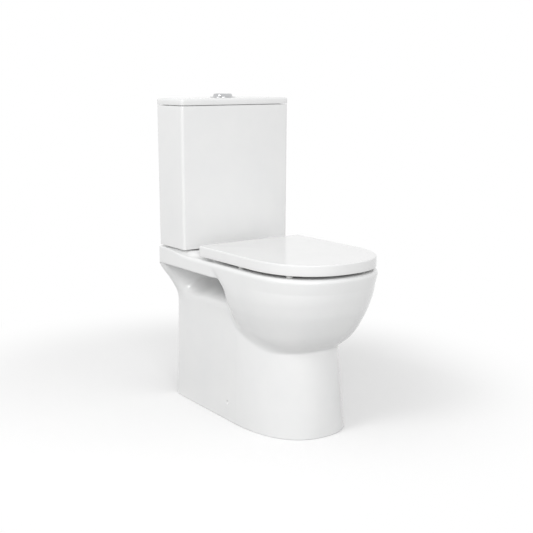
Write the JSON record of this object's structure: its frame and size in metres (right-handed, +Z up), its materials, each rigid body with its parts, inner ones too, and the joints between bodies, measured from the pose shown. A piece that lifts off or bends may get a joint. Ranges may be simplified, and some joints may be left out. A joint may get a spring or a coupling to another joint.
{
  "type": "toilet suite",
  "caption": "Close-coupled floor-standing toilet with a wall-faced pan, rear tank with a split push button and a D-shaped wrap-over seat.",
  "frame": {"origin": "on the centre line, where the plane of the wall behind the suite meets the floor", "axes": "+Z up, -Y out of the room side of the wall towards the user, +X to the right seen from the front"},
  "size_m": [0.345, 0.62, 0.8502],
  "materials": {
    "ceramic": "white gloss glaze",
    "seat_plastic": "white moulded gloss",
    "chrome": "bright plated",
    "white_plastic": "moulded satin",
    "blue_plastic": "moulded satin",
    "soft_rubber": "soft matt",
    "black_rubber": "matt",
    "steel": "plain stainless",
    "damper_plastic": "satin"
  },
  "bodies": {
    "suite": {"pan_foot": "ceramic", "pan_bowl": "ceramic", "pan_trap": "ceramic", "pan_rim": "ceramic", "floor_brackets": "white_plastic", "side_fixing_screws": "steel", "side_fixing_sleeves": "white_plastic", "tank_body": "ceramic", "tank_bolts": "steel", "cone_washers": "black_rubber", "tank_spacers": "black_rubber", "shelf_washers": "black_rubber", "wing_nuts": "steel", "flush_valve_base": "white_plastic", "flush_valve_washer": "black_rubber", "flush_valve_nut": "white_plastic", "tank_gasket": "black_rubber", "flush_valve_tower": "white_plastic", "button_bridge": "white_plastic", "fill_valve_shank": "white_plastic", "fill_valve_washer": "black_rubber", "fill_valve_nut": "white_plastic", "fill_valve_head": "white_plastic", "fill_valve_cap": "white_plastic", "lever_pin": "steel", "hinge_posts": "chrome", "ring_dampers": "damper_plastic", "lid_dampers": "damper_plastic", "hinge_bolts": "steel", "hinge_washers": "black_rubber", "hinge_nuts": "white_plastic"},
    "tank_cover": {"tank_lid": "ceramic", "button_bezel": "chrome", "button_barrel": "white_plastic", "barrel_nut": "white_plastic"},
    "full_button": {"full_flush_button": "chrome", "full_push_rod": "steel", "full_button_spring": "steel"},
    "half_button": {"half_flush_button": "chrome", "half_push_rod": "steel", "half_button_spring": "steel"},
    "full_plunger": {"full_plunger": "blue_plastic"},
    "half_plunger": {"half_plunger": "blue_plastic"},
    "flush_core": {"overflow_tube": "white_plastic", "flush_valve_seal": "black_rubber"},
    "half_flush_float": {"half_flush_float": "blue_plastic"},
    "fill_float": {"fill_valve_float": "blue_plastic", "float_rod": "steel"},
    "float_lever": {"float_lever": "blue_plastic"},
    "seat_ring": {"seat_ring": "seat_plastic", "ring_buffers": "soft_rubber"},
    "seat_lid": {"seat_lid": "seat_plastic", "lid_buffers": "soft_rubber"}
  },
  "joints": [
    {"name": "seat_ring_hinge", "type": "hinge", "parent": "suite", "child": "seat_ring", "pos_m": [0, -0.208, 0.447], "axis": [1, 0, 0], "range_deg": [-95, 0]},
    {"name": "seat_lid_hinge", "type": "hinge", "parent": "seat_ring", "child": "seat_lid", "pos_m": [0, -0.208, 0.447], "axis": [-1, 0, 0], "range_deg": [0, 97]},
    {"name": "tank_lid_lift", "type": "slide", "parent": "suite", "child": "tank_cover", "axis": [0, 0, 1], "range_m": [0, 0.25]},
    {"name": "full_flush_press", "type": "slide", "parent": "tank_cover", "child": "full_button", "axis": [0, 0, -1], "range_m": [0, 0.007], "stiffness_N_per_m": 600, "springref_m": -0.006, "deforming": ["full_button_spring"]},
    {"name": "half_flush_press", "type": "slide", "parent": "tank_cover", "child": "half_button", "axis": [0, 0, -1], "range_m": [0, 0.007], "stiffness_N_per_m": 600, "springref_m": -0.006, "deforming": ["half_button_spring"]},
    {"name": "full_plunger_slide", "type": "slide", "parent": "suite", "child": "full_plunger", "axis": [0, 0, -1], "range_m": [0, 0.007]},
    {"name": "half_plunger_slide", "type": "slide", "parent": "suite", "child": "half_plunger", "axis": [0, 0, -1], "range_m": [0, 0.007]},
    {"name": "flush_core_lift", "type": "slide", "parent": "suite", "child": "flush_core", "axis": [0, 0, 1], "range_m": [0, 0.021]},
    {"name": "half_float_slide", "type": "slide", "parent": "flush_core", "child": "half_flush_float", "axis": [0, 0, -1], "range_m": [0, 0.007]},
    {"name": "fill_float_rise", "type": "slide", "parent": "suite", "child": "fill_float", "axis": [0, 0, 1], "range_m": [0, 0.015]},
    {"name": "float_lever_swing", "type": "hinge", "parent": "suite", "child": "float_lever", "pos_m": [0.13, -0.054, 0.748], "axis": [-1, 0, 0], "range_deg": [0, 29]}
  ],
  "couplings": [
    {"joint": "full_plunger_slide", "follows": "full_flush_press", "ratio": 1},
    {"joint": "flush_core_lift", "follows": "full_flush_press", "ratio": 3},
    {"joint": "half_plunger_slide", "follows": "half_flush_press", "ratio": 1},
    {"joint": "half_float_slide", "follows": "half_flush_press", "ratio": 1},
    {"joint": "float_lever_swing", "follows": "fill_float_rise", "rad_per_m": 33}
  ]
}
